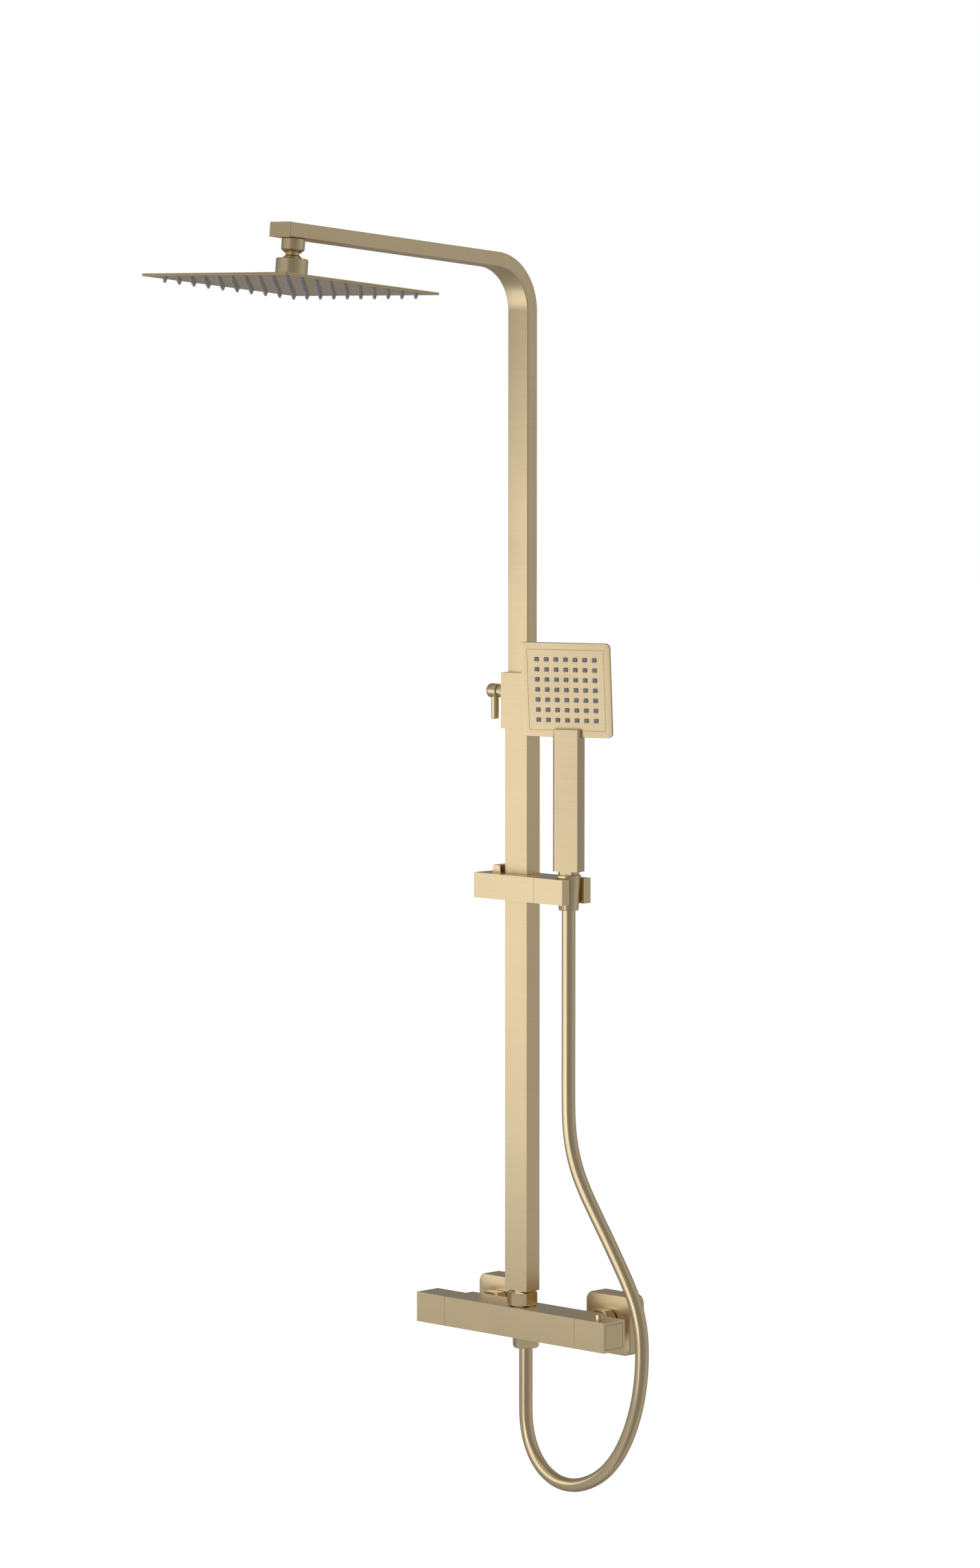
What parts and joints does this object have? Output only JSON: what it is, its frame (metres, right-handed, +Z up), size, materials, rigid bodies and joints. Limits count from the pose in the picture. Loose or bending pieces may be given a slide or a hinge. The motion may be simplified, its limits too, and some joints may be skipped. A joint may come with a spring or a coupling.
{
  "type": "rainfall shower column",
  "caption": "Wall shower column: thermostatic bar valve, telescopic square-edged riser and arm, square rain head, sliding handset holder and flexible hose.",
  "frame": {"origin": "on the wall's face, midway between the two inlets, at the height of the valve's axis", "axes": "+X along the valve to the right, +Y into the wall, +Z up"},
  "size_m": [0.3064, 0.5029, 1.2484],
  "materials": {
    "brushed_gold": "brushed, plated",
    "satin_gold": "satin, plated",
    "raw_brass": "machined",
    "steel": "plain",
    "nozzle_silicone": "matt",
    "seal_rubber": "matt",
    "white_plastic": "moulded"
  },
  "bodies": {
    "valve_and_lower_tube": {"valve_body": "brushed_gold", "flow_cartridge": "white_plastic", "thermostatic_cartridge": "raw_brass", "limit_stop_ring": "white_plastic", "hot_filter_washer": "seal_rubber", "hot_union_nut": "satin_gold", "hot_inlet_connector": "raw_brass", "hot_wall_flange": "brushed_gold", "cold_filter_washer": "seal_rubber", "cold_union_nut": "satin_gold", "cold_inlet_connector": "raw_brass", "cold_wall_flange": "brushed_gold", "riser_nut": "satin_gold", "riser_washer": "seal_rubber", "riser_spigot": "satin_gold", "lower_tube": "brushed_gold", "lock_collar": "brushed_gold", "collar_seal": "seal_rubber", "bracket_arm": "brushed_gold", "bracket_flange": "brushed_gold", "bracket_screw": "steel", "outlet_nut": "satin_gold", "outlet_washer": "seal_rubber", "shower_hose": "satin_gold"},
    "flow_handle": {"flow_spindle": "raw_brass", "flow_handle": "brushed_gold", "flow_handle_screw": "steel", "flow_handle_cap": "brushed_gold"},
    "temperature_handle": {"temperature_spindle": "raw_brass", "temperature_handle": "brushed_gold", "temperature_handle_screw": "steel", "temperature_handle_cap": "brushed_gold", "stop_button_spring": "steel"},
    "stop_button": {"stop_button": "satin_gold"},
    "upper_column": {"upper_tube": "brushed_gold", "arm_end_cap": "brushed_gold", "telescope_guide": "white_plastic", "swivel_collar": "satin_gold", "ball_stem": "satin_gold"},
    "clamp_knob": {"clamp_knob": "satin_gold", "clamp_lever": "satin_gold"},
    "head_tilt": {"ball_seat": "white_plastic"},
    "head_roll": {"ball_seal": "seal_rubber"},
    "head": {"ball_nut": "satin_gold", "head_back_plate": "brushed_gold", "head_nozzle_mat": "nozzle_silicone", "head_face_plate": "brushed_gold"},
    "slider": {"slider_body": "brushed_gold", "slider_liner": "white_plastic", "pivot_bolt": "steel", "release_spring": "steel"},
    "release_button": {"release_button": "satin_gold"},
    "holder_fork": {"holder_fork": "brushed_gold"},
    "handset_cone": {"hose_cone_nut": "satin_gold", "handset_washer": "seal_rubber"},
    "handset": {"handset_grip": "brushed_gold", "handset_water_tube": "white_plastic", "handset_shell": "brushed_gold", "handset_nozzle_mat": "nozzle_silicone", "handset_face_plate": "brushed_gold"}
  },
  "joints": [
    {"name": "flow_handle_turn", "type": "hinge", "parent": "valve_and_lower_tube", "child": "flow_handle", "pos_m": [-0.11, -0.0695, 0], "axis": [-1, 0, 0], "range_deg": [-90, 90]},
    {"name": "temperature_handle_turn", "type": "hinge", "parent": "valve_and_lower_tube", "child": "temperature_handle", "pos_m": [0.11, -0.0695, 0], "axis": [1, 0, 0], "range_deg": [-150, 45]},
    {"name": "stop_button_press", "type": "slide", "parent": "temperature_handle", "child": "stop_button", "axis": [0, 0, -1], "range_m": [0, 0.002], "stiffness_N_per_m": 500, "springref_m": -0.003, "deforming": ["stop_button_spring"]},
    {"name": "column_slide", "type": "slide", "parent": "valve_and_lower_tube", "child": "upper_column", "axis": [0, 0, 1], "range_m": [-0.2, 0.2]},
    {"name": "clamp_knob_turn", "type": "hinge", "parent": "valve_and_lower_tube", "child": "clamp_knob", "pos_m": [-0.038, -0.0653, 0.6268], "axis": [-1, 0, 0], "range_deg": [0, 270]},
    {"name": "head_tilt", "type": "hinge", "parent": "upper_column", "child": "head_tilt", "pos_m": [0, -0.37652, 1.04481], "axis": [1, 0, 0], "range_deg": [-15, 15]},
    {"name": "head_roll", "type": "hinge", "parent": "head_tilt", "child": "head_roll", "pos_m": [0, -0.37652, 1.04481], "axis": [0, 0.9959, -0.0906], "range_deg": [-15, 15]},
    {"name": "head_spin", "type": "hinge", "parent": "head_roll", "child": "head", "pos_m": [0, -0.37652, 1.04481], "axis": [0, 0.0906, 0.9959], "continuous": true},
    {"name": "slider_travel", "type": "slide", "parent": "valve_and_lower_tube", "child": "slider", "axis": [0, 0, 1], "range_m": [-0.3, 0.12], "deforming": ["shower_hose"]},
    {"name": "release_button_press", "type": "slide", "parent": "slider", "child": "release_button", "axis": [0, 0, -1], "range_m": [0, 0.0035], "stiffness_N_per_m": 600, "springref_m": -0.003, "deforming": ["release_spring"]},
    {"name": "holder_tilt", "type": "hinge", "parent": "slider", "child": "holder_fork", "pos_m": [0.06, -0.07205, 0.4349], "axis": [1, 0, 0], "range_deg": [-15, 15]},
    {"name": "handset_lift", "type": "slide", "parent": "holder_fork", "child": "handset_cone", "axis": [0, 0, 1], "range_m": [0, 0.02]},
    {"name": "handset_swivel", "type": "hinge", "parent": "handset_cone", "child": "handset", "pos_m": [0.07, -0.07205, 0.5], "axis": [0, 0, 1], "range_deg": [-23, 67]}
  ]
}
